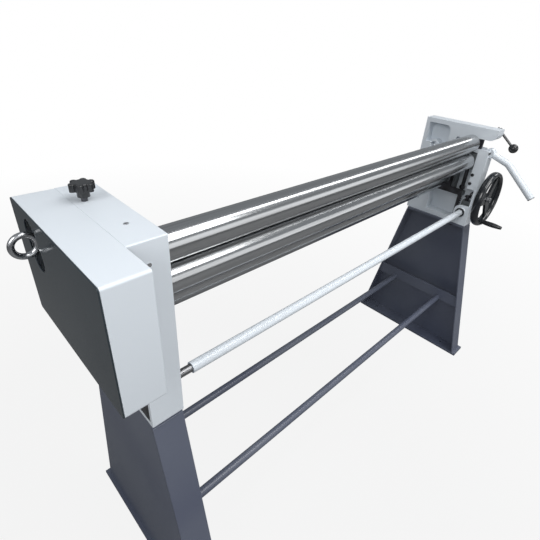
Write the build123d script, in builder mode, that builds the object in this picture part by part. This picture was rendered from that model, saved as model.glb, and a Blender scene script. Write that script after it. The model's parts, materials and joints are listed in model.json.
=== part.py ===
from build123d import *
import os
from math import cos, hypot, pi, radians, sin

# Hand-operated slip roll: three long rolls between two housings on sheet-metal stands.
# Frame: millimetres, +X along the rolls from the geared end to the handwheel end,
# -Y towards the operator, +Z up. The origin is on the floor, under the middle of the
# geared end's foot plate.

os.makedirs("parts", exist_ok=True)

# ---- driving dimensions -------------------------------------------------------
# stands
stand_spacing = 1600.0          # middle of one stand to the middle of the other
stand_width = 75.0              # along X
stand_height = 713.0            # floor to the seat of the housings
stand_top_depth = 298.0
stand_foot_depth = 590.0
stand_sheet = 6.0
foot_plate_thickness = 12.0
foot_plate_overhang = 12.0
housing_bolt_inset = 30.0       # from the ends of the top plate
housing_bolt_radius = 6.0
bolt_head_width = 19.0          # across flats
bolt_head_thickness = 8.0
bolt_hole_clearance = 0.5
anchor_hole_radius = 7.0
anchor_hole_spread = 420.0
top_plate_thickness = 10.0
strip_bottom = 279.0
strip_height = 58.0
strip_setback = 8.0             # from the stand's inner edge
tie_bar_radius = 13.5
tie_bar_stud_radius = 8.0
tie_bar_spread = 258.0
tie_bar_height = 288.0
nut_width = 24.0                # across flats
nut_thickness = 13.0
stud_end = 6.0                  # thread that stands out of the nut

# housings
housing_front = -155.0
housing_rear = 160.0
housing_height = 445.0          # above the stand
housing_wall = 10.0
housing_floor = 12.0
housing_edge_radius = 3.0
cover_width = 80.0              # along X, outside the housing
cover_front = -240.0
cover_height = 264.0
cover_sheet = 2.5
cover_corner_radius = 6.0
slot_width = 60.0               # opening in the cover for the pull ring
slot_length = 104.0
slot_lean = 14.0                # degrees, foot of the opening towards the front
casting_width = 65.0            # along X, the open housing at the handwheel end
casting_web = 14.0
column_depth = 44.0             # front column of the open housing, along Y
casting_front = -150.0
casting_front_wall = 10.0
nose_reach = 14.0               # how far the upper arm reaches past the column
mouth_height = 43.0             # opening that the upper roll's block leaves by

# rolls
roll_radius = 37.5
roll_length = 1500.0
journal_radius = 18.0
front_rolls_y = -74.0
nip_gap = 3.5                   # between the two driven rolls, as shown
top_roll_rise = 377.0           # axis above the stand
rear_roll_y = 8.0
rear_roll_rise = 202.0
running_clearance = 0.05        # radial, journal in bush
slide_clearance = 0.4           # block in its guide
bush_wall = 5.0
swivel_radius = 36.0            # ball-shaped seat of the upper roll's geared end
gear_teeth = 20
gear_width = 12.0
gear_addendum = 2.6
gear_dedendum = 6.6
gear_gap = 4.0                  # between the housing and the gears
rear_lift_travel = 64.0         # stops before the wheel's grip meets the bent lever
pinch_travel = 3.0

# lift drive
link_y = -113.0                 # shaft between the two ends
link_rise = 62.0                # axis above the stand
link_shaft_radius = 10.0
link_tube_radius = 14.0
link_bare_end = 50.0            # bare shaft that shows at the geared end
pinion_teeth = 14
pinion_pitch_radius = 22.4
pinion_width = 10.0
rack_back = 16.0                # pitch line to the back of the rack
rack_slot_clearance = 4.0
rack_addendum = 2.6
rack_dedendum = 3.2
mitre_radius = 15.0
mitre_width = 7.0
mitre_gap = 0.5
mitre_bore = 5.0
wheel_shaft_radius = 10.0
wheel_rise = 145.0              # axis above the stand
wheel_radius = 125.0
wheel_rim_radius = 11.0          # half its thickness across the wheel
wheel_rim_half_width = 17.0      # half its width along the shaft
wheel_front = -196.0            # plane of the rim
grip_length = 82.0
grip_radius = 11.0
grip_orbit = 104.0

# small controls
knob_y = 61.0
knob_x = -15.0
knob_head_radius = 24.0
knob_head_thickness = 16.0
knob_rise = 38.0                # top of the knob above the housing
knob_neck_gap = 9.0             # bottom of its neck above the housing
knob_neck_radius = 11.5
knob_lobe_radius = 6.5
knob_lobes = 6
star_screw_radius = 6.0
pull_rod_drop = 60.0            # axis below the top of the housing
pull_rod_radius = 8.0
ring_radius = 21.5              # middle line of the ring
ring_stock_radius = 6.0
ring_stand_off = 15.0           # middle of the ring to the cover's face
clamp_ball_radius = 19.0
clamp_rod_radius = 5.0
clamp_reach_y = 76.0
clamp_reach_z = 62.0
clamp_drop = 9.0                # pivot below the top of the housing
clamp_tail = 14.0
clamp_hub_radius = 9.0
clamp_hub_length = 17.5
clamp_face_gap = 0.5
bent_tube_radius = 14.0
bent_tube_wall = 2.5
bent_lever_hub_radius = 20.0
bent_pin_radius = 7.0
bent_plane = 10.0               # from the middle of the stand, along X
bent_pivot_drop = 12.5          # pivot below the mouth
bent_elbow = (-85.0, -29.0)     # Y and Z from the pivot
bent_tip = (-214.0, -143.0)
bend_radius = 34.0
bent_cap_thickness = 3.0

# ---- worked-out places --------------------------------------------------------
half_width = stand_width / 2
top_of_housing = stand_height + housing_height
inner_left = half_width
inner_right = stand_spacing - half_width
roll_start = (inner_left + inner_right - roll_length) / 2
roll_end = roll_start + roll_length
casting_outer = stand_spacing + half_width
casting_inner = casting_outer - casting_width
web_inner = casting_outer - casting_web
bush_radius = journal_radius + running_clearance + bush_wall
top_roll_z = stand_height + top_roll_rise
front_roll_z = top_roll_z - 2 * roll_radius - nip_gap
rear_roll_z = stand_height + rear_roll_rise
link_z = stand_height + link_rise
wheel_z = stand_height + wheel_rise
pull_rod_z = top_of_housing - pull_rod_drop
knob_top = top_of_housing + knob_rise
knob_neck_bottom = top_of_housing + knob_neck_gap
gear_pitch_radius = roll_radius + nip_gap / 2
cover_bottom = top_of_housing - cover_height
gear_inner = -half_width - gear_gap
gear_outer = gear_inner - gear_width
column_rear = casting_front + column_depth
seat_clearance = 0.1
mouth_bottom = top_roll_z - mouth_height / 2
mouth_top = top_roll_z + mouth_height / 2


def save(piece, label):
    """Name a finished piece and write it."""
    piece.part.label = label
    export_step(piece.part, f"parts/{label}.step")


def block(x_span, y_span, z_span, mode=Mode.ADD):
    """Add or cut a box between two values on each axis."""
    spans = (x_span, y_span, z_span)
    middle = [sum(span) / 2 for span in spans]
    with Locations(tuple(middle)):
        Box(*[abs(span[1] - span[0]) for span in spans], mode=mode)


def rod_x(x_span, y, z, radius, mode=Mode.ADD):
    """Add or cut a round bar along X."""
    with Locations((sum(x_span) / 2, y, z)):
        Cylinder(radius, abs(x_span[1] - x_span[0]), rotation=(0, 90, 0), mode=mode)


def rod_y(x, y_span, z, radius, mode=Mode.ADD):
    """Add or cut a round bar along Y."""
    with Locations((x, sum(y_span) / 2, z)):
        Cylinder(radius, abs(y_span[1] - y_span[0]), rotation=(90, 0, 0), mode=mode)


def rod_z(x, y, z_span, radius, mode=Mode.ADD):
    """Add or cut a round bar along Z."""
    with Locations((x, y, sum(z_span) / 2)):
        Cylinder(radius, abs(z_span[1] - z_span[0]), mode=mode)


def half_depth(z):
    """Half the stand's depth at height z, over the flanges."""
    return stand_foot_depth / 2 + (stand_top_depth - stand_foot_depth) / 2 * z / stand_height


# ---- stands -------------------------------------------------------------------
sheet_across = stand_sheet * hypot(1, (stand_foot_depth - stand_top_depth) / 2 / stand_height)
stand_bottom = foot_plate_thickness
stand_top = stand_height - top_plate_thickness


def inner_half(z):
    """Half the clear depth between the flanges at height z."""
    return half_depth(z) - sheet_across


def trapezoid(low, high, x_start, thickness):
    """Fill the space between the flanges from one height to another."""
    with BuildPart() as filled:
        with BuildSketch(Plane.YZ.offset(x_start)):
            with BuildLine():
                Polyline(
                    (-inner_half(low), low), (inner_half(low), low),
                    (inner_half(high), high), (-inner_half(high), high), close=True)
            make_face()
        extrude(amount=thickness)
    return filled


housing_bolt_y = stand_top_depth / 2 - housing_bolt_inset
rack_y = link_y + pinion_pitch_radius
block_gap = 1.5                 # sliding blocks to the open housing's inner face
left_rack_x = 12.0
rack_inner = {"left": left_rack_x, "right": casting_inner + block_gap}

for side, middle, outward in (("left", 0.0, -1), ("right", stand_spacing, 1)):
    outer = middle + outward * half_width
    inner = middle - outward * half_width
    web_start = min(outer, outer - outward * stand_sheet)
    web = trapezoid(stand_bottom, stand_top, web_start, stand_sheet)
    save(web, f"{side}_stand_web")

    strip_face = inner + outward * strip_setback
    strip_start = min(strip_face, strip_face + outward * stand_sheet)
    strip = trapezoid(strip_bottom, strip_bottom + strip_height, strip_start, stand_sheet)
    with strip:
        for bar_y in (-tie_bar_spread / 2, tie_bar_spread / 2):
            rod_x((strip_start - 1, strip_start + stand_sheet + 1), bar_y, tie_bar_height,
                  tie_bar_stud_radius + bolt_hole_clearance, Mode.SUBTRACT)
    save(strip, f"{side}_cross_strip")

    for name, front in (("front", -1), ("rear", 1)):
        with BuildPart() as flange:
            with BuildSketch(Plane.YZ.offset(middle - half_width)):
                with BuildLine():
                    Polyline(
                        (front * inner_half(stand_bottom), stand_bottom),
                        (front * half_depth(stand_bottom), stand_bottom),
                        (front * half_depth(stand_top), stand_top),
                        (front * inner_half(stand_top), stand_top), close=True)
                make_face()
            extrude(amount=stand_width)
        save(flange, f"{side}_stand_{name}_flange")

    with BuildPart() as foot_plate:
        foot_half = stand_foot_depth / 2 + foot_plate_overhang
        foot_outer = outer + outward * foot_plate_overhang
        block((inner, foot_outer), (-foot_half, foot_half), (0, foot_plate_thickness))
        for hole_y in (-anchor_hole_spread / 2, anchor_hole_spread / 2):
            rod_z(middle, hole_y, (-1, foot_plate_thickness + 1), anchor_hole_radius,
                  Mode.SUBTRACT)
    save(foot_plate, f"{side}_foot_plate")

    with BuildPart() as top_plate:
        block((middle - half_width, middle + half_width),
              (-stand_top_depth / 2, stand_top_depth / 2), (stand_top, stand_height))
        for bolt_y in (-housing_bolt_y, housing_bolt_y):
            rod_z(middle, bolt_y, (stand_top - 1, stand_height + 1),
                  housing_bolt_radius + bolt_hole_clearance, Mode.SUBTRACT)
        block((rack_inner[side] - rack_slot_clearance,
               rack_inner[side] + pinion_width + rack_slot_clearance),
              (rack_y - rack_slot_clearance, rack_y + rack_back + rack_slot_clearance),
              (stand_top - 1, stand_height + 1), Mode.SUBTRACT)
    save(top_plate, f"{side}_top_plate")

# ---- tie bars -----------------------------------------------------------------
bar_start = inner_left - strip_setback
bar_end = inner_right + strip_setback
stud_reach = stand_sheet + nut_thickness + stud_end
for name, bar_y in (("front", -tie_bar_spread / 2), ("rear", tie_bar_spread / 2)):
    with BuildPart() as tie_bar:
        rod_x((bar_start, bar_end), bar_y, tie_bar_height, tie_bar_radius)
        rod_x((bar_start - stud_reach, bar_end + stud_reach), bar_y, tie_bar_height,
              tie_bar_stud_radius)
    save(tie_bar, f"{name}_tie_bar")

with BuildPart() as tie_bar_nuts:
    for bar_y in (-tie_bar_spread / 2, tie_bar_spread / 2):
        for nut_start in (bar_start - stand_sheet - nut_thickness, bar_end + stand_sheet):
            with BuildSketch(Plane.YZ.offset(nut_start)):
                with Locations((bar_y, tie_bar_height)):
                    RegularPolygon(nut_width / 2, 6, major_radius=False)
                    Circle(tie_bar_stud_radius, mode=Mode.SUBTRACT)
            extrude(amount=nut_thickness)
save(tie_bar_nuts, "tie_bar_nuts")

# ---- geared-end housing -------------------------------------------------------
swing_room = 8.0                # around the upper journal where it swings
journal_room = 2.0              # around the front journal at the ends of its travel
rear_slot_half = journal_radius + 3.0
link_bush_wall = 4.0
link_bush_radius = link_shaft_radius + running_clearance + link_bush_wall

with BuildPart() as left_housing:
    with BuildSketch(Plane.YZ.offset(-half_width)):
        with Locations(((housing_front + housing_rear) / 2, (stand_height + top_of_housing) / 2)):
            Rectangle(housing_rear - housing_front, housing_height)
    extrude(amount=stand_width)
    fillet(left_housing.edges().filter_by(Axis.X), housing_edge_radius)
    cavity_y = (housing_front + housing_wall, housing_rear - housing_wall)
    cavity_z = (stand_height + housing_floor, top_of_housing - housing_wall)
    block((-half_width - 1, half_width - housing_wall), cavity_y, cavity_z, Mode.SUBTRACT)
    wall_span = (half_width - housing_wall - 1, half_width + 1)
    rod_x(wall_span, front_rolls_y, top_roll_z, journal_radius + swing_room, Mode.SUBTRACT)
    rod_x(wall_span, front_rolls_y, front_roll_z,
          journal_radius + pinch_travel + journal_room, Mode.SUBTRACT)
    block(wall_span, (rear_roll_y - rear_slot_half, rear_roll_y + rear_slot_half),
          (rear_roll_z - rear_slot_half, rear_roll_z + rear_lift_travel + rear_slot_half),
          Mode.SUBTRACT)
    rod_x(wall_span, link_y, link_z, link_bush_radius, Mode.SUBTRACT)
    rod_z(knob_x, knob_y, (cavity_z[1] - 1, top_of_housing + 1),
          star_screw_radius + running_clearance, Mode.SUBTRACT)
    for bolt_y in (-housing_bolt_y, housing_bolt_y):
        rod_z(0, bolt_y, (stand_height - 1, cavity_z[0] + 1),
              housing_bolt_radius + bolt_hole_clearance, Mode.SUBTRACT)
    block((rack_inner["left"] - rack_slot_clearance,
           rack_inner["left"] + pinion_width + rack_slot_clearance),
          (rack_y - rack_slot_clearance, rack_y + rack_back + rack_slot_clearance),
          (stand_height - 1, cavity_z[0] + 1), Mode.SUBTRACT)
save(left_housing, "left_housing")

pull_guide_radius = pull_rod_radius + running_clearance
with BuildPart() as side_plate:
    block((-half_width, -half_width + housing_wall), cavity_y, cavity_z)
    plate_span = (-half_width - 1, -half_width + housing_wall + 1)
    rod_x(plate_span, front_rolls_y, top_roll_z, swivel_radius + seat_clearance, Mode.SUBTRACT)
    rod_x(plate_span, front_rolls_y, front_roll_z,
          journal_radius + pinch_travel + journal_room, Mode.SUBTRACT)
    rod_x(plate_span, knob_y, pull_rod_z, pull_guide_radius, Mode.SUBTRACT)
save(side_plate, "left_side_plate")

with BuildPart() as gear_cover:
    cover_x = (-half_width - cover_width + cover_sheet, -half_width)
    cover_middle = ((cover_front + housing_rear) / 2, (cover_bottom + top_of_housing) / 2)
    block(cover_x, (cover_front, housing_rear), (cover_bottom, top_of_housing))
    fillet(gear_cover.edges().filter_by(Axis.X), cover_corner_radius)
    with BuildSketch(Plane.YZ.offset(cover_x[0])):
        with Locations(cover_middle):
            RectangleRounded(housing_rear - cover_front - 2 * cover_sheet,
                             cover_height - 2 * cover_sheet, cover_corner_radius - cover_sheet)
    extrude(amount=cover_width, mode=Mode.SUBTRACT)
save(gear_cover, "gear_cover")

slot_drop = 6.0                 # middle of the opening below the pull rod
with BuildPart() as cover_panel:
    with BuildSketch(Plane.YZ.offset(cover_x[0] - cover_sheet)):
        with Locations(cover_middle):
            RectangleRounded(housing_rear - cover_front, cover_height, cover_corner_radius)
        with Locations((knob_y, pull_rod_z - slot_drop)):
            SlotOverall(slot_length, slot_width, rotation=90 - slot_lean, mode=Mode.SUBTRACT)
    extrude(amount=cover_sheet)
save(cover_panel, "gear_cover_panel")

cover_screw_head = 4.5
front_screw_thickness = 2.0
top_screw_thickness = 1.5
front_screw_x = -2.5
top_screw_y = front_rolls_y - 6.0
front_screw_z = (rear_roll_z + 25.0, top_roll_z + 21.0)
with BuildPart() as cover_screws:
    for screw_z in front_screw_z:
        rod_y(front_screw_x, (housing_front - front_screw_thickness, housing_front), screw_z,
              cover_screw_head)
    rod_z(0, top_screw_y, (top_of_housing, top_of_housing + top_screw_thickness),
          cover_screw_head)
save(cover_screws, "housing_screws")

# ---- open housing at the handwheel end ----------------------------------------
block_half = 32.0               # sliding blocks, along Y
front_block_half_z = 36.0
pocket_top = front_roll_z + front_block_half_z + pinch_travel + 1.5
pocket_rear = rear_roll_y + 52.0
pocket_floor = stand_height + 22.0
recess_front = casting_front + casting_front_wall
recess_floor = pocket_floor + 10.0
recess_top = wheel_z + 30.0
slot_rear = front_rolls_y + 36.0
nose_front = casting_front - nose_reach
nose_radius = 28.0
edge_wall = 17.0                # round the small pockets, at the casting's rear and top
top_pocket_depth = 104.0
top_pocket_height = 88.0
top_pocket_radius = 22.0
low_pocket_depth = 70.0
low_pocket_radius = 18.0
low_pocket_z = (stand_height + 142.0, front_roll_z + 3.5)
top_pocket_y = housing_rear - edge_wall - top_pocket_depth / 2
top_pocket_z = top_of_housing - edge_wall - 2.0 - top_pocket_height / 2
low_pocket_y = housing_rear - edge_wall + 1.0 - low_pocket_depth / 2
boss_y = 104.0
boss_z = top_of_housing - 115.0
boss_radius = 21.0
boss_setback = 10.0
plain_holes = (                 # Y, Z and radius of the holes right through
    (boss_y, boss_z, 13.0),
    (rear_roll_y - 14.0, top_roll_z + 1.0, 11.0),
    (boss_y + 8.0, link_z, 5.0),
)
clamp_pivot_y = casting_front + 7.0
clamp_pivot_z = top_of_housing - clamp_drop
clamp_shaft_radius = 5.0
clamp_hole_start = casting_inner + 19.0
bent_pivot_y = casting_front + 4.0
bent_pivot_z = mouth_bottom - bent_pivot_drop
bent_plane_x = stand_spacing + bent_plane
bent_hub_half = 15.2
bent_slot_half = bent_hub_half + 1.3
bent_slot_rear = bent_pivot_y + 26.0
bent_slot_drop = 24.0
bent_pin_start = bent_plane_x - 34.0
wheel_bush_wall = 4.0

with BuildPart() as right_housing:
    with BuildSketch(Plane.YZ.offset(casting_inner)):
        with BuildLine():
            Polyline(
                (casting_front, stand_height), (housing_rear, stand_height),
                (housing_rear, top_of_housing), (nose_front, top_of_housing),
                (nose_front, mouth_top), (slot_rear, mouth_top), (slot_rear, mouth_bottom),
                (casting_front, mouth_bottom), close=True)
        make_face()
    extrude(amount=casting_width)
    fillet(right_housing.edges().filter_by(Axis.X).filter_by_position(
        Axis.Y, nose_front - 1, nose_front + 1).sort_by(Axis.Z)[0], nose_radius)
    hollow_x = (casting_inner - 1, web_inner)
    block(hollow_x, (column_rear, pocket_rear), (pocket_floor, pocket_top), Mode.SUBTRACT)
    block(hollow_x, (recess_front, column_rear + 1), (recess_floor, recess_top),
          Mode.SUBTRACT)
    with BuildSketch(Plane.YZ.offset(web_inner)) as top_pocket:
        with Locations((top_pocket_y, top_pocket_z)):
            Rectangle(top_pocket_depth, top_pocket_height)
        fillet(top_pocket.vertices().sort_by(Axis.X)[:2].sort_by(Axis.Y)[-1], top_pocket_radius)
    extrude(amount=-casting_width, mode=Mode.SUBTRACT)
    with BuildSketch(Plane.YZ.offset(web_inner)):
        with Locations((low_pocket_y, sum(low_pocket_z) / 2)):
            RectangleRounded(low_pocket_depth, low_pocket_z[1] - low_pocket_z[0],
                             low_pocket_radius)
    extrude(amount=-casting_width, mode=Mode.SUBTRACT)
    rod_x((casting_inner + boss_setback, web_inner), boss_y, boss_z, boss_radius)
    for hole_y, hole_z, hole_radius in plain_holes:
        rod_x((casting_inner - 1, casting_outer + 1), hole_y, hole_z, hole_radius, Mode.SUBTRACT)
    rod_x((clamp_hole_start, casting_outer + 1), clamp_pivot_y, clamp_pivot_z,
          clamp_shaft_radius + running_clearance, Mode.SUBTRACT)
    block((bent_plane_x - bent_slot_half, casting_outer + 1), (casting_front - 1, bent_slot_rear),
          (bent_pivot_z - bent_slot_drop, mouth_bottom + 1), Mode.SUBTRACT)
    rod_x((bent_pin_start, bent_plane_x - bent_slot_half + 1), bent_pivot_y, bent_pivot_z,
          bent_pin_radius, Mode.SUBTRACT)
    rod_y(stand_spacing, (casting_front - 1, recess_front + 1), wheel_z,
          wheel_shaft_radius + running_clearance + wheel_bush_wall, Mode.SUBTRACT)
    for bolt_y in (-housing_bolt_y, housing_bolt_y):
        rod_z(stand_spacing, bolt_y, (stand_height - 1, stand_height + housing_floor),
              housing_bolt_radius + bolt_hole_clearance, Mode.SUBTRACT)
    block((casting_inner - 1, rack_inner["right"] + pinion_width + rack_slot_clearance),
          (rack_y - rack_slot_clearance, rack_y + rack_back + rack_slot_clearance),
          (stand_height - 1, pocket_floor + 1), Mode.SUBTRACT)
save(right_housing, "right_housing")

link_plate_thickness = 8.0
link_plate_radius = 34.0
link_boss_radius = 23.0
link_boss_length = 7.0
link_ring_thickness = 4.0
plate_x = (casting_inner - link_plate_thickness, casting_inner)
link_boss_x = plate_x[0] - link_boss_length
with BuildPart() as link_plate:
    block(plate_x, (casting_front, link_y + link_plate_radius), (stand_height, link_z))
    rod_x(plate_x, link_y, link_z, link_plate_radius)
    block(plate_x, (casting_front, link_y), (stand_height, link_z + link_plate_radius))
    rod_x((link_boss_x, plate_x[1]), link_y, link_z, link_boss_radius)
    rod_x((link_boss_x - 1, plate_x[1] + 1), link_y, link_z, link_bush_radius, Mode.SUBTRACT)
save(link_plate, "link_bearing_plate")

# ---- bolts that hold the housings down ----------------------------------------
with BuildPart() as housing_bolts:
    for middle in (0.0, stand_spacing):
        for bolt_y in (-housing_bolt_y, housing_bolt_y):
            with BuildSketch(Plane.XY.offset(stand_top - bolt_head_thickness)):
                with Locations((middle, bolt_y)):
                    RegularPolygon(bolt_head_width / 2, 6, major_radius=False)
            extrude(amount=bolt_head_thickness)
            rod_z(middle, bolt_y, (stand_top, stand_height + housing_floor - 1),
                  housing_bolt_radius)
save(housing_bolts, "housing_bolts")

# ---- rolls and their bearings --------------------------------------------------
block_width = 40.0
left_block_start = half_width - housing_wall - block_gap - block_width
block_x = {
    "left": (left_block_start, left_block_start + block_width),
    "right": (casting_inner + block_gap, casting_inner + block_gap + block_width),
}
rear_block_half = 36.0
rear_block_half_z = 42.0
roll_edge = 2.0
journal_end_length = 4.0        # past the gear
top_block_x = (casting_inner + 4.5, casting_inner + 19.5)
roll_ends = {
    "top_roll": (front_rolls_y, top_roll_z, gear_outer - journal_end_length, top_block_x[1]),
    "front_roll": (front_rolls_y, front_roll_z, gear_outer - journal_end_length,
                   block_x["right"][1]),
    "rear_roll": (rear_roll_y, rear_roll_z, block_x["left"][0], block_x["right"][1]),
}
for name, (roll_y, roll_z, journal_start, journal_end) in roll_ends.items():
    with BuildPart() as roll:
        rod_x((roll_start, roll_end), roll_y, roll_z, roll_radius)
        chamfer(roll.edges(), roll_edge)
        rod_x((journal_start, journal_end), roll_y, roll_z, journal_radius)
    save(roll, name)


tooth_root_share = 0.40         # of half a pitch, left thin so that the gap can change
tooth_tip_share = 0.15


def toothed_disc(x_start, width, y, z, teeth, pitch_radius, addendum, dedendum,
                 bore, first_tooth):
    """A spur gear on an X axis, with straight-sided teeth."""
    half_pitch = pi * pitch_radius / teeth
    tooth_half = {"root": half_pitch * tooth_root_share, "tip": half_pitch * tooth_tip_share}
    with BuildPart() as gear:
        with BuildSketch(Plane.YZ.offset(x_start)):
            with Locations((y, z)):
                Circle(pitch_radius - dedendum)
                with PolarLocations(pitch_radius, teeth, start_angle=first_tooth):
                    with Locations((0, 0)):
                        Polygon(
                            (-dedendum - 1, -tooth_half["root"]),
                            (-dedendum - 1, tooth_half["root"]),
                            (addendum, tooth_half["tip"]),
                            (addendum, -tooth_half["tip"]), align=None)
                Circle(bore, mode=Mode.SUBTRACT)
        extrude(amount=width)
    return gear


half_pitch_angle = 180 / gear_teeth
for name, gear_z, first_tooth in (("top_roll_gear", top_roll_z, 0.0),
                                  ("front_roll_gear", front_roll_z, half_pitch_angle)):
    spur = toothed_disc(gear_outer, gear_width, front_rolls_y, gear_z, gear_teeth,
                        gear_pitch_radius, gear_addendum, gear_dedendum, journal_radius,
                        first_tooth)
    save(spur, name)

swivel_x = -half_width + housing_wall / 2
swivel_half = housing_wall / 2
swivel_edge = (swivel_radius ** 2 - swivel_half ** 2) ** 0.5
swivel_bore = journal_radius + running_clearance
with BuildPart() as swivel:
    with BuildSketch(Plane(origin=(swivel_x, front_rolls_y, top_roll_z), x_dir=(1, 0, 0),
                           z_dir=(0, -1, 0))):
        with BuildLine():
            Polyline((-swivel_half, swivel_edge), (-swivel_half, swivel_bore),
                     (swivel_half, swivel_bore), (swivel_half, swivel_edge))
            ThreePointArc((swivel_half, swivel_edge), (0, swivel_radius),
                          (-swivel_half, swivel_edge))
        make_face()
    revolve(axis=Axis((swivel_x, front_rolls_y, top_roll_z), (1, 0, 0)))
save(swivel, "top_roll_swivel_bearing")

top_block_half_z = mouth_height / 2 - slide_clearance
top_block_front = 38.0
top_block_edge = 2.0
with BuildPart() as top_block:
    block(top_block_x, (front_rolls_y - top_block_front, front_rolls_y + block_half),
          (top_roll_z - top_block_half_z, top_roll_z + top_block_half_z))
    chamfer(top_block.edges().filter_by(Axis.X), top_block_edge)
    rod_x((casting_inner, casting_outer), front_rolls_y, top_roll_z,
          journal_radius + running_clearance, Mode.SUBTRACT)
save(top_block, "top_roll_end_block")

for side in ("left", "right"):
    span = block_x[side]
    bore_span = (span[0] - 1, span[1] + 1)
    with BuildPart() as front_block:
        block(span, (column_rear + slide_clearance, front_rolls_y + block_half),
              (front_roll_z - front_block_half_z, front_roll_z + front_block_half_z))
        rod_x(bore_span, front_rolls_y, front_roll_z, bush_radius, Mode.SUBTRACT)
    save(front_block, f"{side}_front_roll_block")

rack_pitch = 2 * pi * pinion_pitch_radius / pinion_teeth
rack_root_half = 2.7
rack_tip_half = 1.1
arm_height = 26.0
rack_spare = 18.0               # rack below the pinion at the top of the lift
carrier_bottom = rear_roll_z - rear_block_half_z
rack_foot = link_z - rear_lift_travel - rack_spare
for side in ("left", "right"):
    span = block_x[side]
    rack_start = rack_inner[side]
    with BuildPart() as carrier:
        block(span, (rear_roll_y - rear_block_half, rear_roll_y + rear_block_half),
              (carrier_bottom, rear_roll_z + rear_block_half_z))
        rod_x((span[0] - 1, span[1] + 1), rear_roll_y, rear_roll_z, bush_radius, Mode.SUBTRACT)
        with BuildSketch(Plane.YZ.offset(rack_start)):
            with BuildLine():
                Polyline(
                    (rack_y + rack_dedendum, rack_foot), (rack_y + rack_back, rack_foot),
                    (rack_y + rack_back, carrier_bottom - arm_height),
                    (rear_roll_y + rear_block_half, carrier_bottom - arm_height),
                    (rear_roll_y + rear_block_half, carrier_bottom),
                    (rack_y + rack_dedendum, carrier_bottom), close=True)
            make_face()
            tooth_count = int((carrier_bottom - arm_height - rack_foot) / rack_pitch)
            below = round((link_z - rack_foot) / rack_pitch - 0.5)
            for step in range(-below, tooth_count - below):
                with Locations((rack_y, link_z + (step + 0.5) * rack_pitch)):
                    Polygon((rack_dedendum + 1, -rack_root_half),
                            (rack_dedendum + 1, rack_root_half),
                            (-rack_addendum, rack_tip_half),
                            (-rack_addendum, -rack_tip_half), align=None)
        extrude(amount=pinion_width)
    save(carrier, f"{side}_rear_roll_carrier")

bush_sets = {
    "front_roll_bushes": (front_rolls_y, front_roll_z),
    "rear_roll_bushes": (rear_roll_y, rear_roll_z),
}
for name, (bush_y, bush_z) in bush_sets.items():
    with BuildPart() as bushes:
        for side in ("left", "right"):
            rod_x(block_x[side], bush_y, bush_z, bush_radius)
            rod_x((block_x[side][0] - 1, block_x[side][1] + 1), bush_y, bush_z,
                  journal_radius + running_clearance, Mode.SUBTRACT)
    save(bushes, name)

# ---- guides for the sliding blocks ---------------------------------------------
guide_z = (stand_height + 137.0, front_roll_z + 38.5)
guide_gap = slide_clearance
guide_depth = 14.0
gib_bolt_radius = 7.0
gib_bolt_head = 5.0
gib_bolt_z = (rear_roll_z - 1.0, rear_roll_z + 39.0)
front_block_rear = front_rolls_y + block_half
carrier_front = rear_roll_y - rear_block_half
carrier_rear = rear_roll_y + rear_block_half
middle_guide = (front_block_rear + guide_gap, carrier_front - guide_gap)
rear_guide = (carrier_rear + guide_gap, carrier_rear + guide_gap + guide_depth)
front_guide = (column_rear - guide_depth, column_rear)
rack_side_gap = 2.0
left_guide_x = (-half_width + housing_wall, rack_inner["left"] - rack_side_gap)
right_guide_x = (rack_inner["right"] + pinion_width + rack_side_gap, web_inner)
with BuildPart() as guide_bars:
    for bar_y in (front_guide, middle_guide, rear_guide):
        block(left_guide_x, bar_y, guide_z)
    for bar_y in (middle_guide, rear_guide):
        block(right_guide_x, bar_y, guide_z)
save(guide_bars, "guide_bars")
with BuildPart() as gib_bolts:
    for bolt_z in gib_bolt_z:
        rod_x((casting_inner - gib_bolt_head, casting_inner), column_rear - gib_bolt_radius,
              bolt_z, gib_bolt_radius)
save(gib_bolts, "guide_bolts")

# ---- link shaft, mitre gears and handwheel --------------------------------------
mitre_x = stand_spacing
link_shaft_start = rack_inner["left"] - 4.0
with BuildPart() as link_shaft:
    rod_x((link_shaft_start, mitre_x - mitre_radius), link_y, link_z, link_shaft_radius)
    rod_x((mitre_x - mitre_radius, mitre_x - mitre_radius + mitre_width), link_y, link_z,
          mitre_bore)
save(link_shaft, "link_shaft")

tube_end_gap = 1.0
with BuildPart() as link_tube:
    tube_span = (inner_left + link_bare_end, link_boss_x - link_ring_thickness - tube_end_gap)
    rod_x(tube_span, link_y, link_z, link_tube_radius)
    rod_x((tube_span[0] - 1, tube_span[1] + 1), link_y, link_z, link_shaft_radius, Mode.SUBTRACT)
save(link_tube, "link_tube")

cone_large = mitre_radius - mitre_gap
cone_small = mitre_radius - mitre_width - mitre_gap


def mitre_cone(place):
    """Add a mitre gear whose large end lies at the place's origin, closing along its Z."""
    with Locations(place):
        Cone(cone_large, cone_small, mitre_width, align=(Align.CENTER, Align.CENTER, Align.MIN))
        Cylinder(mitre_bore, 3 * mitre_width, mode=Mode.SUBTRACT)


link_mitre_place = Location((mitre_x - mitre_radius, link_y, link_z), (0, 90, 0))
with BuildPart() as link_gears:
    for side in ("left", "right"):
        pinion = toothed_disc(rack_inner[side], pinion_width, link_y, link_z, pinion_teeth,
                              pinion_pitch_radius, rack_addendum, rack_dedendum,
                              link_shaft_radius, 0.0)
        add(pinion.part)
    mitre_cone(link_mitre_place)
save(link_gears, "link_gears")

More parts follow.
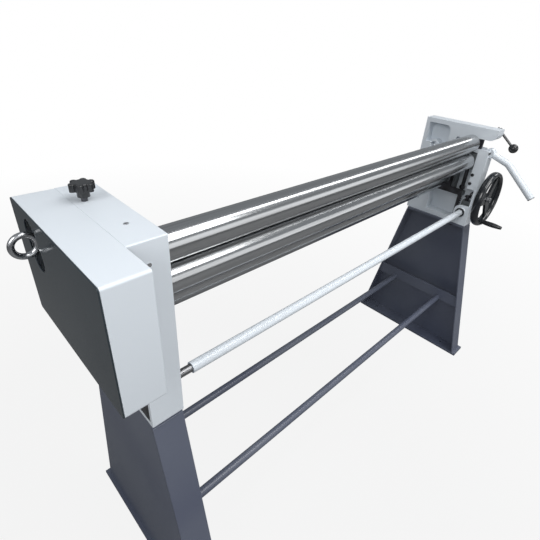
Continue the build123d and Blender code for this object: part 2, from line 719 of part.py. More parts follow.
upright_radius = 7.0
upright_z = (link_z + mitre_radius, wheel_z - mitre_radius)
bearing_height = 26.0
bearing_side = 12.0             # bearing's middle to its free side
bearing_z = (upright_z[0] + mitre_width + 1.0, upright_z[0] + mitre_width + 1.0 + bearing_height)
with BuildPart() as upright_shaft:
    rod_z(mitre_x, link_y, upright_z, upright_radius)
    mitre_cone(Location((mitre_x, link_y, upright_z[0]), (180, 0, 0)))
    mitre_cone(Location((mitre_x, link_y, upright_z[1]), (0, 0, 0)))
    rod_z(mitre_x, link_y, (upright_z[0] - mitre_width, upright_z[1] + mitre_width), mitre_bore)
save(upright_shaft, "upright_link_shaft")

with BuildPart() as bearing_block:
    block((mitre_x - bearing_side, web_inner), (recess_front, link_y + bearing_side + 4.0),
          bearing_z)
    rod_z(mitre_x, link_y, (bearing_z[0] - 1, bearing_z[1] + 1),
          upright_radius + running_clearance, Mode.SUBTRACT)
save(bearing_block, "upright_shaft_bearing")

hub_face = 7.0                  # hub in front of the rim's middle plane
hub_front = wheel_front - hub_face
hub_rear = casting_front - 12.0
wheel_thread_length = 10.0
with BuildPart() as wheel_shaft:
    rod_y(mitre_x, (hub_front, link_y - mitre_radius), wheel_z, wheel_shaft_radius)
    mitre_cone(Location((mitre_x, link_y - mitre_radius, wheel_z), (-90, 0, 0)))
    rod_y(mitre_x, (hub_front - wheel_thread_length, link_y - mitre_radius + mitre_width), wheel_z, mitre_bore)
save(wheel_shaft, "handwheel_shaft")

bush_outer = wheel_shaft_radius + running_clearance + wheel_bush_wall
bush_stand_out = 3.0
link_ring_x = link_boss_x - link_ring_thickness
link_ring_wall = 7.0
with BuildPart() as shaft_bushes:
    rod_y(mitre_x, (casting_front - bush_stand_out, recess_front), wheel_z, bush_outer)
    rod_y(mitre_x, (casting_front - bush_stand_out - 1, recess_front + 1), wheel_z,
          wheel_shaft_radius + running_clearance, Mode.SUBTRACT)
    rod_x((link_ring_x, link_boss_x), link_y, link_z, link_bush_radius + link_ring_wall)
    for bush_x in ((half_width - housing_wall, half_width + bush_stand_out),
                   (link_ring_x, casting_inner)):
        rod_x(bush_x, link_y, link_z, link_bush_radius)
        rod_x((bush_x[0] - 1, bush_x[1] + 1), link_y, link_z,
              link_shaft_radius + running_clearance, Mode.SUBTRACT)
save(shaft_bushes, "shaft_bushes")

rim_orbit = wheel_radius - wheel_rim_radius
spoke_count = 3
spoke_turn = 60.0
spoke_root_half = 20.0
spoke_end_half = 13.0
spoke_set_back = 6.0            # spokes' rear face behind the rim's middle plane
spoke_thickness = 11.0
hub_radius = 26.0
grip_boss_radius = 13.0
grip_boss_length = 11.0
grip_end_gap = 3.0              # grip to the rim
grip_end_wall = 5.5
grip_pin_gap = 0.5              # pin's end to the bottom of the grip's bore
grip_angle = radians(-95)
grip_x = mitre_x + grip_orbit * cos(grip_angle)
grip_z = wheel_z + grip_orbit * sin(grip_angle)
grip_rear = wheel_front - wheel_rim_half_width - grip_end_gap
grip_pin_radius = 5.0
wheel_plane = Plane(origin=(mitre_x, wheel_front, wheel_z), x_dir=(1, 0, 0), z_dir=(0, -1, 0))
with BuildPart() as handwheel:
    with BuildSketch(Plane(origin=(mitre_x, wheel_front, wheel_z), x_dir=(1, 0, 0),
                           z_dir=(0, 0, 1))):
        with Locations((rim_orbit, 0)):
            Ellipse(wheel_rim_radius, wheel_rim_half_width)
    revolve(axis=Axis((mitre_x, wheel_front, wheel_z), (0, 1, 0)))
    rod_y(mitre_x, (hub_front, hub_rear), wheel_z, hub_radius)
    with BuildSketch(wheel_plane.offset(-spoke_set_back)):
        with PolarLocations(0, spoke_count, start_angle=spoke_turn):
            Polygon((0, -spoke_root_half), (0, spoke_root_half), (rim_orbit, spoke_end_half),
                    (rim_orbit, -spoke_end_half), align=None)
    extrude(amount=spoke_thickness)
    rod_y(grip_x, (wheel_front + grip_boss_length - 1, grip_rear + 1), grip_z, grip_boss_radius)
    rod_y(grip_x, (grip_rear + 2, grip_rear - grip_length + grip_end_wall + grip_pin_gap),
          grip_z, grip_pin_radius)
    rod_y(mitre_x, (hub_front - 1, hub_rear + 1), wheel_z, wheel_shaft_radius, Mode.SUBTRACT)
save(handwheel, "handwheel")

wheel_nut_width = 22.0
with BuildPart() as wheel_nut:
    with BuildSketch(wheel_plane.offset(hub_face)):
        RegularPolygon(wheel_nut_width / 2, 6, major_radius=False)
        Circle(mitre_bore, mode=Mode.SUBTRACT)
    extrude(amount=wheel_thread_length)
save(wheel_nut, "handwheel_nut")

grip_bore = grip_pin_radius + running_clearance
grip_mouth = grip_radius - 2.0
grip_nose = grip_radius - 4.0
with BuildPart() as grip:
    with BuildSketch(Plane(origin=(grip_x, grip_rear, grip_z), x_dir=(1, 0, 0), z_dir=(0, 0, 1))):
        with BuildLine():
            Polyline((grip_bore, 0), (grip_mouth, 0))
            Spline((grip_mouth, 0), (grip_radius, -0.35 * grip_length),
                   ((grip_mouth + grip_radius) / 2, -0.7 * grip_length),
                   (grip_nose, -grip_length))
            Polyline((grip_nose, -grip_length), (0, -grip_length),
                     (0, -grip_length + grip_end_wall),
                     (grip_bore, -grip_length + grip_end_wall), (grip_bore, 0))
        make_face()
    revolve(axis=Axis((grip_x, grip_rear, grip_z), (0, 1, 0)))
save(grip, "crank_grip")

# ---- screws that set the gap between the two driven rolls ------------------------
pinch_screw_x = {"left": -6.0, "right": mitre_x + 4.0}
pinch_screw_radius = 8.0
pinch_block_z = (stand_height + 128.0, stand_height + 148.0)
pinch_block_half = 14.0
pinch_block_side = {"left": 6.0, "right": mitre_x - 10.0}
pinch_screw_tail = 20.0
pinch_head_width = 22.0         # across flats
pinch_head_height = 12.0
pinch_screw_top = front_roll_z - front_block_half_z
with BuildPart() as pinch_blocks:
    for side, wall_x in (("left", -half_width + housing_wall), ("right", web_inner)):
        block((pinch_block_side[side], wall_x), (front_rolls_y - pinch_block_half, middle_guide[0]),
              pinch_block_z)
        rod_z(pinch_screw_x[side], front_rolls_y, (pinch_block_z[0] - 1, pinch_block_z[1] + 1),
              pinch_screw_radius + running_clearance, Mode.SUBTRACT)
save(pinch_blocks, "pinch_screw_blocks")
for side in ("left", "right"):
    with BuildPart() as pinch_screw:
        rod_z(pinch_screw_x[side], front_rolls_y,
              (pinch_block_z[0] - pinch_screw_tail, pinch_screw_top), pinch_screw_radius)
        with BuildSketch(Plane.XY.offset(pinch_block_z[1] + pinch_head_height)):
            with Locations((pinch_screw_x[side], front_rolls_y)):
                RegularPolygon(pinch_head_width / 2, 6, major_radius=False)
        extrude(amount=pinch_head_height)
    save(pinch_screw, f"{side}_pinch_screw")

# ---- star knob and pull ring ----------------------------------------------------
knob_bottom = knob_top - knob_head_thickness
knob_edge = 2.5
knob_screw_hold = 6.0           # screw's length in the knob's head
with BuildPart() as star_knob:
    with BuildSketch(Plane.XY.offset(knob_bottom)):
        with Locations((knob_x, knob_y)):
            Circle(knob_head_radius - knob_lobe_radius)
            with PolarLocations(knob_head_radius - knob_lobe_radius, knob_lobes):
                Circle(knob_lobe_radius)
    extrude(amount=knob_head_thickness)
    fillet(star_knob.faces().sort_by(Axis.Z)[-1].edges(), knob_edge)
    rod_z(knob_x, knob_y, (knob_neck_bottom, knob_bottom), knob_neck_radius)
    rod_z(knob_x, knob_y, (knob_neck_bottom - 1, knob_bottom + knob_screw_hold), star_screw_radius,
          Mode.SUBTRACT)
save(star_knob, "star_knob")
star_screw_gap = 0.5
with BuildPart() as star_screw:
    rod_z(knob_x, knob_y, (pull_rod_z + pull_rod_radius + star_screw_gap,
                           knob_bottom + knob_screw_hold), star_screw_radius)
save(star_screw, "star_knob_screw")

ring_x = cover_x[0] - cover_sheet - ring_stand_off
pull_rod_end = 16.0
with BuildPart() as pull_rod:
    rod_x((ring_x + ring_radius + 1, pull_rod_end), knob_y, pull_rod_z, pull_rod_radius)
    with Locations(Location((ring_x, knob_y, pull_rod_z), (90, 0, 0))):
        Torus(ring_radius, ring_stock_radius, mode=Mode.SUBTRACT)
save(pull_rod, "pull_rod")
with BuildPart() as eye_ring:
    with Locations(Location((ring_x, knob_y, pull_rod_z), (90, 0, 0))):
        Torus(ring_radius, ring_stock_radius)
save(eye_ring, "eye_ring")

# ---- hand levers of the open housing --------------------------------------------
clamp_plane_x = casting_outer + clamp_face_gap + clamp_hub_radius
clamp_length = hypot(clamp_reach_y, clamp_reach_z)
clamp_ball_y = clamp_pivot_y - clamp_reach_y
clamp_ball_z = clamp_pivot_z - clamp_reach_z
clamp_ball = (clamp_plane_x, clamp_ball_y, clamp_ball_z)
clamp_down = Plane(origin=(clamp_plane_x, clamp_pivot_y, clamp_pivot_z), x_dir=(1, 0, 0),
                   z_dir=(0, -clamp_reach_y, -clamp_reach_z))
with BuildPart() as clamp_lever:
    rod_x((casting_outer + clamp_face_gap, casting_outer + clamp_face_gap + clamp_hub_length),
          clamp_pivot_y, clamp_pivot_z, clamp_hub_radius)
    rod_x((clamp_hole_start + 1, casting_outer + 1), clamp_pivot_y, clamp_pivot_z,
          clamp_shaft_radius)
    with BuildSketch(clamp_down.offset(-clamp_tail)):
        Circle(clamp_rod_radius)
    extrude(amount=clamp_length + clamp_tail)
    with Locations(clamp_ball):
        Sphere(clamp_ball_radius, mode=Mode.SUBTRACT)
save(clamp_lever, "clamp_lever")
with BuildPart() as ball_knob:
    with Locations(clamp_ball):
        Sphere(clamp_ball_radius)
save(ball_knob, "ball_knob")

bent_path = [(bent_pivot_y + reach_y, bent_pivot_z + reach_z)
             for reach_y, reach_z in ((0, 0), bent_elbow, bent_tip)]
with BuildPart() as bent_lever:
    with BuildLine(Plane.YZ.offset(bent_plane_x)) as bent_line:
        FilletPolyline(*bent_path, radius=bend_radius)
    with BuildSketch(Plane(origin=bent_line.line @ 0, z_dir=bent_line.line % 0)):
        Circle(bent_tube_radius)
        Circle(bent_tube_radius - bent_tube_wall, mode=Mode.SUBTRACT)
    sweep(path=bent_line.line)
    rod_x((bent_plane_x - bent_hub_half, bent_plane_x + bent_hub_half), bent_pivot_y,
          bent_pivot_z, bent_lever_hub_radius)
    rod_x((bent_plane_x - bent_hub_half - 1, bent_plane_x + bent_hub_half + 1), bent_pivot_y,
          bent_pivot_z, bent_pin_radius + running_clearance, Mode.SUBTRACT)
save(bent_lever, "bent_lever")
with BuildPart() as bent_cap:
    with BuildSketch(Plane(origin=bent_line.line @ 1, z_dir=bent_line.line % 1)):
        Circle(bent_tube_radius)
    extrude(amount=bent_cap_thickness)
save(bent_cap, "bent_lever_cap")
with BuildPart() as bent_pin:
    rod_x((bent_pin_start, casting_outer), bent_pivot_y, bent_pivot_z, bent_pin_radius)
save(bent_pin, "bent_lever_pin")
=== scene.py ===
import json
from math import cos, radians, sin

import bmesh
import bpy
from mathutils import Matrix, Vector

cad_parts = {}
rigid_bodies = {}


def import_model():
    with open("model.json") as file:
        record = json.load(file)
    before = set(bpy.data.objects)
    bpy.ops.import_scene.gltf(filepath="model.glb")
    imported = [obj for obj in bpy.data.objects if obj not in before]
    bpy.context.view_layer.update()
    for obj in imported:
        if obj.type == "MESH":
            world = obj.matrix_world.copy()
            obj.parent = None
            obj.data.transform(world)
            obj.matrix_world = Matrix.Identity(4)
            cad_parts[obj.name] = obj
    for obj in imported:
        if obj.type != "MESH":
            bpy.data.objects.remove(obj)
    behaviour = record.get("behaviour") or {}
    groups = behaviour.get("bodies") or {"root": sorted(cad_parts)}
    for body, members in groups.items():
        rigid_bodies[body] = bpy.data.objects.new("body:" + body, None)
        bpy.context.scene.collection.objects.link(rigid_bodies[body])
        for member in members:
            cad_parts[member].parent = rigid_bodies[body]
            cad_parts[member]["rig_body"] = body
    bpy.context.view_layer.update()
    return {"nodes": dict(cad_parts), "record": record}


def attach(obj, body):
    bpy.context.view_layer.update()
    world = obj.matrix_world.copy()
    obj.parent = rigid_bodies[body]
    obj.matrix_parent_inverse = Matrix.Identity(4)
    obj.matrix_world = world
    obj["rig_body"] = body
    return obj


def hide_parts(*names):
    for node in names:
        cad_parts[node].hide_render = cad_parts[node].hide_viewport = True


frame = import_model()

nodes = frame["nodes"]
mm = 0.001


# ---- paint and metal ----------------------------------------------------------
def new_group(name, inputs, outputs):
    """Start a shader node group with named float or colour sockets."""
    group = bpy.data.node_groups.new(name, "ShaderNodeTree")
    for label, kind, value in inputs:
        socket = group.interface.new_socket(label, in_out="INPUT", socket_type=kind)
        socket.default_value = value
    for label, kind in outputs:
        group.interface.new_socket(label, in_out="OUTPUT", socket_type=kind)
    return group, group.nodes.new("NodeGroupInput"), group.nodes.new("NodeGroupOutput")


def noise(tree, vector, scale, detail=3.0, roughness=0.5):
    """Add a noise texture read at a vector socket."""
    node = tree.nodes.new("ShaderNodeTexNoise")
    node.inputs["Scale"].default_value = scale
    node.inputs["Detail"].default_value = detail
    node.inputs["Roughness"].default_value = roughness
    tree.links.new(vector, node.inputs["Vector"])
    return node.outputs["Fac"]


def map_range(tree, value, low, high, to_low=0.0, to_high=1.0):
    """Stretch a value from one range to another."""
    node = tree.nodes.new("ShaderNodeMapRange")
    for label, number in (("From Min", low), ("From Max", high),
                          ("To Min", to_low), ("To Max", to_high)):
        node.inputs[label].default_value = number
    tree.links.new(value, node.inputs["Value"])
    return node.outputs["Result"]


def mix_colour(tree, factor, first, second, blend="MIX"):
    """Mix two colours, each a socket or a fixed colour."""
    node = tree.nodes.new("ShaderNodeMix")
    node.data_type = "RGBA"
    node.blend_type = blend
    for label, value in (("Factor", factor), ("A", first), ("B", second)):
        sockets = [s for s in node.inputs if s.name == label and s.enabled]
        if isinstance(value, bpy.types.NodeSocket):
            tree.links.new(value, sockets[0])
        elif label == "Factor":
            sockets[0].default_value = value
        else:
            sockets[0].default_value = (*value, 1.0)
    return [s for s in node.outputs if s.enabled][0]


def build_paint_wear():
    """Enamel: a slow drift of shade and gloss, and a soft orange peel."""
    drift_scale = 3.0
    smudge_scale = 6.0
    peel_scale = 90.0
    peel_height = 0.0004
    dull_grey = (0.25, 0.27, 0.29)
    middle_span = (0.3, 0.7)        # where most of the noise lies
    smudge_gloss = (-0.02, 0.03)    # what a smudge takes from or adds to the roughness
    group, given, made = new_group(
        "paint_wear",
        (("Colour", "NodeSocketColor", (1, 1, 1, 1)), ("Drift", "NodeSocketFloat", 0.05),
         ("Peel", "NodeSocketFloat", 0.02), ("Roughness", "NodeSocketFloat", 0.3)),
        (("Colour", "NodeSocketColor"), ("Roughness", "NodeSocketFloat"),
         ("Normal", "NodeSocketVector")))
    place = group.nodes.new("ShaderNodeTexCoord").outputs["Object"]
    broad = noise(group, place, drift_scale, detail=2.0)
    shade = group.nodes.new("ShaderNodeMath")
    shade.operation = "MULTIPLY"
    group.links.new(map_range(group, broad, *middle_span), shade.inputs[0])
    group.links.new(given.outputs["Drift"], shade.inputs[1])
    darker = mix_colour(group, shade.outputs[0], given.outputs["Colour"], dull_grey)
    group.links.new(darker, made.inputs["Colour"])
    smudge_noise = noise(group, place, smudge_scale, detail=1.0)
    smudge = map_range(group, smudge_noise, *middle_span, *smudge_gloss)
    rough = group.nodes.new("ShaderNodeMath")
    rough.operation = "ADD"
    rough.use_clamp = True
    group.links.new(given.outputs["Roughness"], rough.inputs[0])
    group.links.new(smudge, rough.inputs[1])
    group.links.new(rough.outputs[0], made.inputs["Roughness"])
    peel = group.nodes.new("ShaderNodeBump")
    peel.inputs["Distance"].default_value = peel_height
    group.links.new(given.outputs["Peel"], peel.inputs["Strength"])
    group.links.new(noise(group, place, peel_scale, detail=1.0), peel.inputs["Height"])
    group.links.new(peel.outputs["Normal"], made.inputs["Normal"])
    return group


def build_lines_and_painted_bands():
    """Long lines along X, as polishing along a bar leaves them, and broader dark bands along X that
    are painted reflection.
    """
    line_stretch = (0.012, 1.0, 1.0)
    fine_scale = 150.0
    # the broad noise makes dark bands along the rolls: painted reflection
    painted_band_scale = 60.0
    fine_span = (0.42, 0.66)
    painted_band_span = (0.35, 0.65)
    fine_share = 0.6
    line_roughness = 0.06
    line_bump = 0.04
    line_height = 0.0002
    group, given, made = new_group(
        "lines_and_painted_bands",
        (("Colour", "NodeSocketColor", (1, 1, 1, 1)), ("Line and painted band colour", "NodeSocketColor", (0, 0, 0, 1)),
         ("Amount", "NodeSocketFloat", 0.3), ("Roughness", "NodeSocketFloat", 0.2)),
        (("Colour", "NodeSocketColor"), ("Roughness", "NodeSocketFloat"),
         ("Normal", "NodeSocketVector")))
    place = group.nodes.new("ShaderNodeTexCoord").outputs["Object"]
    along = group.nodes.new("ShaderNodeMapping")
    along.inputs["Scale"].default_value = line_stretch
    group.links.new(place, along.inputs["Vector"])
    fine_noise = noise(group, along.outputs["Vector"], fine_scale, detail=2.0, roughness=0.6)
    fine = map_range(group, fine_noise, *fine_span)
    painted_band_noise = noise(group, along.outputs["Vector"], painted_band_scale, detail=2.0)
    broad = map_range(group, painted_band_noise, *painted_band_span)
    both = group.nodes.new("ShaderNodeMath")
    both.operation = "MULTIPLY_ADD"
    group.links.new(fine, both.inputs[0])
    both.inputs[1].default_value = fine_share
    painted_band_part = group.nodes.new("ShaderNodeMath")
    painted_band_part.operation = "MULTIPLY"
    painted_band_part.inputs[1].default_value = 1 - fine_share
    group.links.new(broad, painted_band_part.inputs[0])
    group.links.new(painted_band_part.outputs[0], both.inputs[2])
    line_and_band_amount = group.nodes.new("ShaderNodeMath")
    line_and_band_amount.operation = "MULTIPLY"
    group.links.new(both.outputs[0], line_and_band_amount.inputs[0])
    group.links.new(given.outputs["Amount"], line_and_band_amount.inputs[1])
    mixed = mix_colour(group, line_and_band_amount.outputs[0], given.outputs["Colour"],
                       given.outputs["Line and painted band colour"])
    group.links.new(mixed, made.inputs["Colour"])
    rough = group.nodes.new("ShaderNodeMath")
    rough.operation = "MULTIPLY_ADD"
    rough.inputs[1].default_value = line_roughness
    group.links.new(fine, rough.inputs[0])
    group.links.new(given.outputs["Roughness"], rough.inputs[2])
    group.links.new(rough.outputs[0], made.inputs["Roughness"])
    bump = group.nodes.new("ShaderNodeBump")
    bump.inputs["Strength"].default_value = line_bump
    bump.inputs["Distance"].default_value = line_height
    group.links.new(fine, bump.inputs["Height"])
    group.links.new(bump.outputs["Normal"], made.inputs["Normal"])
    return group


def build_cast_grain():
    """Speckled grain for castings, small fittings and moulded grips."""
    grain_scale = 120.0
    patch_scale = 35.0
    patch_span = (0.35, 0.7)
    patch_roughness = 0.12
    grain_height = 0.0004
    group, given, made = new_group(
        "cast_grain",
        (("Colour", "NodeSocketColor", (1, 1, 1, 1)), ("Fleck", "NodeSocketColor", (0, 0, 0, 1)),
         ("Amount", "NodeSocketFloat", 0.3), ("Roughness", "NodeSocketFloat", 0.5),
         ("Depth", "NodeSocketFloat", 0.2)),
        (("Colour", "NodeSocketColor"), ("Roughness", "NodeSocketFloat"),
         ("Normal", "NodeSocketVector")))
    place = group.nodes.new("ShaderNodeTexCoord").outputs["Object"]
    grain = noise(group, place, grain_scale, detail=3.0, roughness=0.6)
    patch = map_range(group, noise(group, place, patch_scale, detail=3.0), *patch_span)
    amount = group.nodes.new("ShaderNodeMath")
    amount.operation = "MULTIPLY"
    group.links.new(patch, amount.inputs[0])
    group.links.new(given.outputs["Amount"], amount.inputs[1])
    mixed = mix_colour(group, amount.outputs[0], given.outputs["Colour"], given.outputs["Fleck"])
    group.links.new(mixed, made.inputs["Colour"])
    rough = group.nodes.new("ShaderNodeMath")
    rough.operation = "MULTIPLY_ADD"
    rough.inputs[1].default_value = patch_roughness
    group.links.new(patch, rough.inputs[0])
    group.links.new(given.outputs["Roughness"], rough.inputs[2])
    group.links.new(rough.outputs[0], made.inputs["Roughness"])
    bump = group.nodes.new("ShaderNodeBump")
    bump.inputs["Distance"].default_value = grain_height
    group.links.new(given.outputs["Depth"], bump.inputs["Strength"])
    group.links.new(grain, bump.inputs["Height"])
    group.links.new(bump.outputs["Normal"], made.inputs["Normal"])
    return group


paint_wear = build_paint_wear()
lines_and_painted_bands = build_lines_and_painted_bands()
cast_grain = build_cast_grain()


def finish_material(name, group, values, metallic=0.0, coat=0.0, coat_roughness=0.05,
                    specular=0.5):
    """Make a material from one surface group and the shader's own settings."""
    material = bpy.data.materials.new(name)
    material.use_nodes = True
    tree = material.node_tree
    shader = tree.nodes["Principled BSDF"]
    surface = tree.nodes.new("ShaderNodeGroup")
    surface.node_tree = group
    for label, value in values.items():
        surface.inputs[label].default_value = (*value, 1.0) if isinstance(value, tuple) else value
    tree.links.new(surface.outputs["Colour"], shader.inputs["Base Color"])
    tree.links.new(surface.outputs["Roughness"], shader.inputs["Roughness"])
    tree.links.new(surface.outputs["Normal"], shader.inputs["Normal"])
    shader.inputs["Metallic"].default_value = metallic
    shader.inputs["Coat Weight"].default_value = coat
    shader.inputs["Coat Roughness"].default_value = coat_roughness
    shader.inputs["Specular IOR Level"].default_value = specular
    return material


white_enamel = finish_material(
    "white_enamel", paint_wear,
    {"Colour": (0.75, 0.80, 0.85), "Drift": 0.03, "Peel": 0.02, "Roughness": 0.32}, coat=0.25)
# panel_enamel: near-black gloss on the gear cover's left end panel, painted shade where the white
# cover's end lies in shade
panel_enamel = finish_material(
    "panel_enamel", paint_wear,
    {"Colour": (0.022, 0.032, 0.040), "Drift": 0.10, "Peel": 0.01, "Roughness": 0.14},
    specular=0.25)
slate_enamel = finish_material(
    "slate_enamel", paint_wear,
    {"Colour": (0.088, 0.100, 0.145), "Drift": 0.25, "Peel": 0.03, "Roughness": 0.38}, coat=0.12,
    coat_roughness=0.2)
black_enamel = finish_material(
    "black_enamel", paint_wear,
    {"Colour": (0.010, 0.012, 0.015), "Drift": 0.03, "Peel": 0.05, "Roughness": 0.22}, coat=0.4)
# ground steel for the rolls: fine polishing lines, and broader dark bands that are painted reflection
ground_steel = finish_material(
    "ground_steel", lines_and_painted_bands,
    {"Colour": (0.58, 0.59, 0.60), "Line and painted band colour": (0.24, 0.24, 0.235), "Amount": 0.40,
     "Roughness": 0.16}, metallic=1.0)
turned_steel = finish_material(
    "turned_steel", lines_and_painted_bands,
    {"Colour": (0.30, 0.30, 0.31), "Line and painted band colour": (0.08, 0.08, 0.08), "Amount": 0.6,
     "Roughness": 0.30}, metallic=1.0)
dark_steel = finish_material(
    "dark_steel", cast_grain,
    {"Colour": (0.10, 0.10, 0.11), "Fleck": (0.03, 0.03, 0.03), "Amount": 0.7,
     "Roughness": 0.35, "Depth": 0.12}, metallic=0.9)
grey_iron = finish_material(
    "grey_iron", cast_grain,
    {"Colour": (0.20, 0.22, 0.23), "Fleck": (0.10, 0.10, 0.10), "Amount": 0.6,
     "Roughness": 0.45, "Depth": 0.25}, metallic=0.6)
bronze = finish_material(
    "bronze", cast_grain,
    {"Colour": (0.50, 0.32, 0.13), "Fleck": (0.25, 0.15, 0.06), "Amount": 0.5,
     "Roughness": 0.32, "Depth": 0.10}, metallic=1.0)
bright_zinc = finish_material(
    "bright_zinc", cast_grain,
    {"Colour": (0.62, 0.63, 0.65), "Fleck": (0.35, 0.35, 0.36), "Amount": 0.35,
     "Roughness": 0.20, "Depth": 0.06}, metallic=1.0)
black_plastic = finish_material(
    "black_plastic", cast_grain,
    {"Colour": (0.012, 0.013, 0.015), "Fleck": (0.03, 0.03, 0.032), "Amount": 0.4,
     "Roughness": 0.24, "Depth": 0.05}, coat=0.25)

slot_finish = {
    "white_enamel": white_enamel, "slate_enamel": slate_enamel, "panel_enamel": panel_enamel,
    "ground_steel": ground_steel, "dark_steel": dark_steel, "grey_iron": grey_iron,
    "bronze": bronze, "black_plastic": black_plastic, "black_enamel": black_enamel,
    "bright_zinc": bright_zinc,
}
node_slot = {part["node"]: part["material_slot"] for part in frame["record"]["subparts"]}
for name, node in nodes.items():
    node.data.materials.clear()
    node.data.materials.append(slot_finish[node_slot[name]])
for name in ("link_shaft", "handwheel_shaft", "pull_rod"):
    nodes[name].data.materials[0] = turned_steel


# ---- pieces that take the place of plain solids --------------------------------
weld_distance = 0.01 * mm
flat_angle = radians(1.0)
rounded_angle = radians(30)
smooth_angle = radians(40)
rounding_segments = 3


def add_piece(mesh, name, body, material):
    """Put a finished mesh in the scene on its body."""
    piece = bpy.data.objects.new(name, mesh)
    bpy.context.scene.collection.objects.link(piece)
    piece.data.materials.clear()
    piece.data.materials.append(material)
    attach(piece, body)
    return piece


def smooth_faces(mesh):
    """Shade a mesh smooth up to an angle between faces."""
    shaded = bmesh.new()
    shaded.from_mesh(mesh)
    for face in shaded.faces:
        face.smooth = True
    for edge in shaded.edges:
        edge.smooth = len(edge.link_faces) == 2 and edge.calc_face_angle(0) < smooth_angle
    shaded.to_mesh(mesh)
    shaded.free()


def softened(name, width):
    """Stand in for a node by a merged copy of it with rounded edges."""
    shape = bmesh.new()
    shape.from_mesh(nodes[name].data)
    bmesh.ops.remove_doubles(shape, verts=shape.verts, dist=weld_distance)
    bmesh.ops.dissolve_limit(shape, angle_limit=flat_angle, verts=shape.verts,
                             edges=shape.edges)
    mesh = bpy.data.meshes.new(name + "_soft")
    shape.to_mesh(mesh)
    shape.free()
    piece = add_piece(mesh, name + "_soft", nodes[name]["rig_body"],
                      nodes[name].data.materials[0])
    rounding = piece.modifiers.new("rounding", "BEVEL")
    rounding.width = width
    rounding.segments = rounding_segments
    rounding.limit_method = "ANGLE"
    rounding.angle_limit = rounded_angle
    rounding.harden_normals = True
    rounding.use_clamp_overlap = True
    smooth_faces(mesh)
    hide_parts(name)


edge_rounding = {               # mm
    2.5: ("right_housing",),
    2.0: ("left_housing", "handwheel"),
    1.5: ("link_bearing_plate",),
    1.2: ("left_stand_front_flange", "right_stand_front_flange", "left_stand_rear_flange",
          "right_stand_rear_flange", "star_knob"),
    1.0: ("gear_cover", "gear_cover_panel", "left_foot_plate", "right_foot_plate",
          "top_roll_end_block", "left_front_roll_block", "right_front_roll_block",
          "pinch_screw_blocks"),
    0.8: ("left_top_plate", "right_top_plate", "left_cross_strip", "right_cross_strip",
          "handwheel_nut", "guide_bolts"),
    0.6: ("guide_bars",),
    0.5: ("housing_screws",),
}
for width, names in edge_rounding.items():
    for name in names:
        softened(name, width * mm)


# ---- floor, light and camera ---------------------------------------------------
floor_half_side = 30.0
floor_grey = (0.22, 0.22, 0.22, 1)
floor_roughness = 0.9
white_near_machine = 0.88
white_rise = (1.0, 4.0)         # metres from the left stand, from there up to full white
sky_tint = (0.90, 0.95, 1.0, 1)
sky_strength = 0.30
pure_white = (1, 1, 1, 1)


def lay_floor():
    """A grey floor that the camera sees white, faintly shaded near the machine."""
    mesh = bpy.data.meshes.new("floor")
    shape = bmesh.new()
    bmesh.ops.create_grid(shape, x_segments=1, y_segments=1, size=floor_half_side)
    shape.to_mesh(mesh)
    shape.free()
    floor = bpy.data.objects.new("floor", mesh)
    bpy.context.scene.collection.objects.link(floor)
    material = bpy.data.materials.new("pale_floor")
    material.use_nodes = True
    tree = material.node_tree
    shader = tree.nodes["Principled BSDF"]
    shader.inputs["Base Color"].default_value = floor_grey
    shader.inputs["Roughness"].default_value = floor_roughness
    lit_paper = tree.nodes.new("ShaderNodeEmission")
    lit_paper.inputs["Strength"].default_value = 1.0
    reach = tree.nodes.new("ShaderNodeVectorMath")
    reach.operation = "LENGTH"
    place = tree.nodes.new("ShaderNodeTexCoord").outputs["Object"]
    tree.links.new(place, reach.inputs[0])
    whiteness = map_range(tree, reach.outputs["Value"], *white_rise, white_near_machine, 1.0)
    seen = tree.nodes.new("ShaderNodeMath")
    seen.operation = "MULTIPLY"
    rays = tree.nodes.new("ShaderNodeLightPath")
    tree.links.new(rays.outputs["Is Camera Ray"], seen.inputs[0])
    tree.links.new(whiteness, seen.inputs[1])
    pick = tree.nodes.new("ShaderNodeMixShader")
    tree.links.new(seen.outputs[0], pick.inputs["Fac"])
    tree.links.new(shader.outputs["BSDF"], pick.inputs[1])
    tree.links.new(lit_paper.outputs["Emission"], pick.inputs[2])
    tree.links.new(pick.outputs["Shader"], tree.nodes["Material Output"].inputs["Surface"])
    floor.data.materials.append(material)


def hang_backdrop():
    """A dim, even sky that the camera sees white."""
    world = bpy.data.worlds.new("studio")
    bpy.context.scene.world = world
    world.use_nodes = True
    sky = world.node_tree
    backdrop = sky.nodes["Background"]
    backdrop.inputs["Color"].default_value = sky_tint
    backdrop.inputs["Strength"].default_value = sky_strength
    seen = sky.nodes.new("ShaderNodeBackground")
    seen.inputs["Color"].default_value = pure_white
    seen.inputs["Strength"].default_value = 1.0
    rays = sky.nodes.new("ShaderNodeLightPath")
    pick = sky.nodes.new("ShaderNodeMixShader")
    sky.links.new(rays.outputs["Is Camera Ray"], pick.inputs["Fac"])
    sky.links.new(backdrop.outputs["Background"], pick.inputs[1])
    sky.links.new(seen.outputs["Background"], pick.inputs[2])
    sky.links.new(pick.outputs["Shader"], sky.nodes["World Output"].inputs["Surface"])


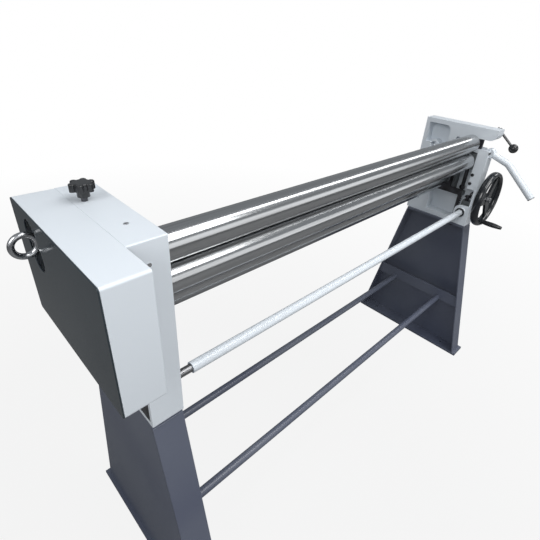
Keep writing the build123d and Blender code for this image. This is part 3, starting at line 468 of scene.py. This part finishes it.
def soft_lamp(name, place, target, size, power):
    """A rectangular area lamp that points at a target."""
    lamp_data = bpy.data.lights.new(name, "AREA")
    lamp_data.shape = "RECTANGLE"
    lamp_data.size, lamp_data.size_y = size
    lamp_data.energy = power
    lamp = bpy.data.objects.new(name, lamp_data)
    bpy.context.scene.collection.objects.link(lamp)
    lamp.location = place
    lamp.rotation_euler = (Vector(target) - Vector(place)).to_track_quat("-Z", "Y").to_euler()


lamps = (                       # name, place, target, sides in metres, power in watts
    ("key", (1.2, -2.6, 4.2), (0.8, 0.0, 0.8), (3.0, 1.2), 84),
    ("front wall", (4.0, -4.5, 1.9), (4.0, 0.0, 1.4), (11.0, 2.4), 75),
    ("ceiling strip", (4.2, -0.75, 3.6), (4.2, -0.70, 1.0), (8.5, 0.6), 70),
    ("left window", (-2.2, -0.8, 2.6), (0.8, 0.0, 0.9), (1.6, 1.6), 40),
)

picture_side = 540              # points across the picture
focal_length = 394.344          # in the same points
picture_middle = (284.982, 252.514)
camera_place = (-0.257925, -0.703454, 1.475744)
azimuth = radians(-47.097)
elevation = radians(29.754)
camera_roll = radians(4.400)
sensor_width = 36.0


def place_camera():
    """The camera at the picture's angle."""
    level_right = Vector((cos(azimuth), sin(azimuth), 0))
    back = Vector((sin(azimuth) * cos(elevation), -cos(azimuth) * cos(elevation),
                   sin(elevation)))
    level_up = back.cross(level_right)
    right = cos(camera_roll) * level_right + sin(camera_roll) * level_up
    up = -sin(camera_roll) * level_right + cos(camera_roll) * level_up
    camera_data = bpy.data.cameras.new("camera")
    camera_data.sensor_width = sensor_width
    camera_data.lens = focal_length / picture_side * sensor_width
    camera_data.shift_x = 0.5 - picture_middle[0] / picture_side
    camera_data.shift_y = picture_middle[1] / picture_side - 0.5
    camera = bpy.data.objects.new("camera", camera_data)
    bpy.context.scene.collection.objects.link(camera)
    turned = Matrix((right, up, back)).transposed().to_4x4()
    camera.matrix_world = Matrix.Translation(camera_place) @ turned
    bpy.context.scene.camera = camera


lay_floor()
hang_backdrop()
for lamp in lamps:
    soft_lamp(*lamp)
place_camera()
bpy.context.scene.view_settings.view_transform = "Standard"
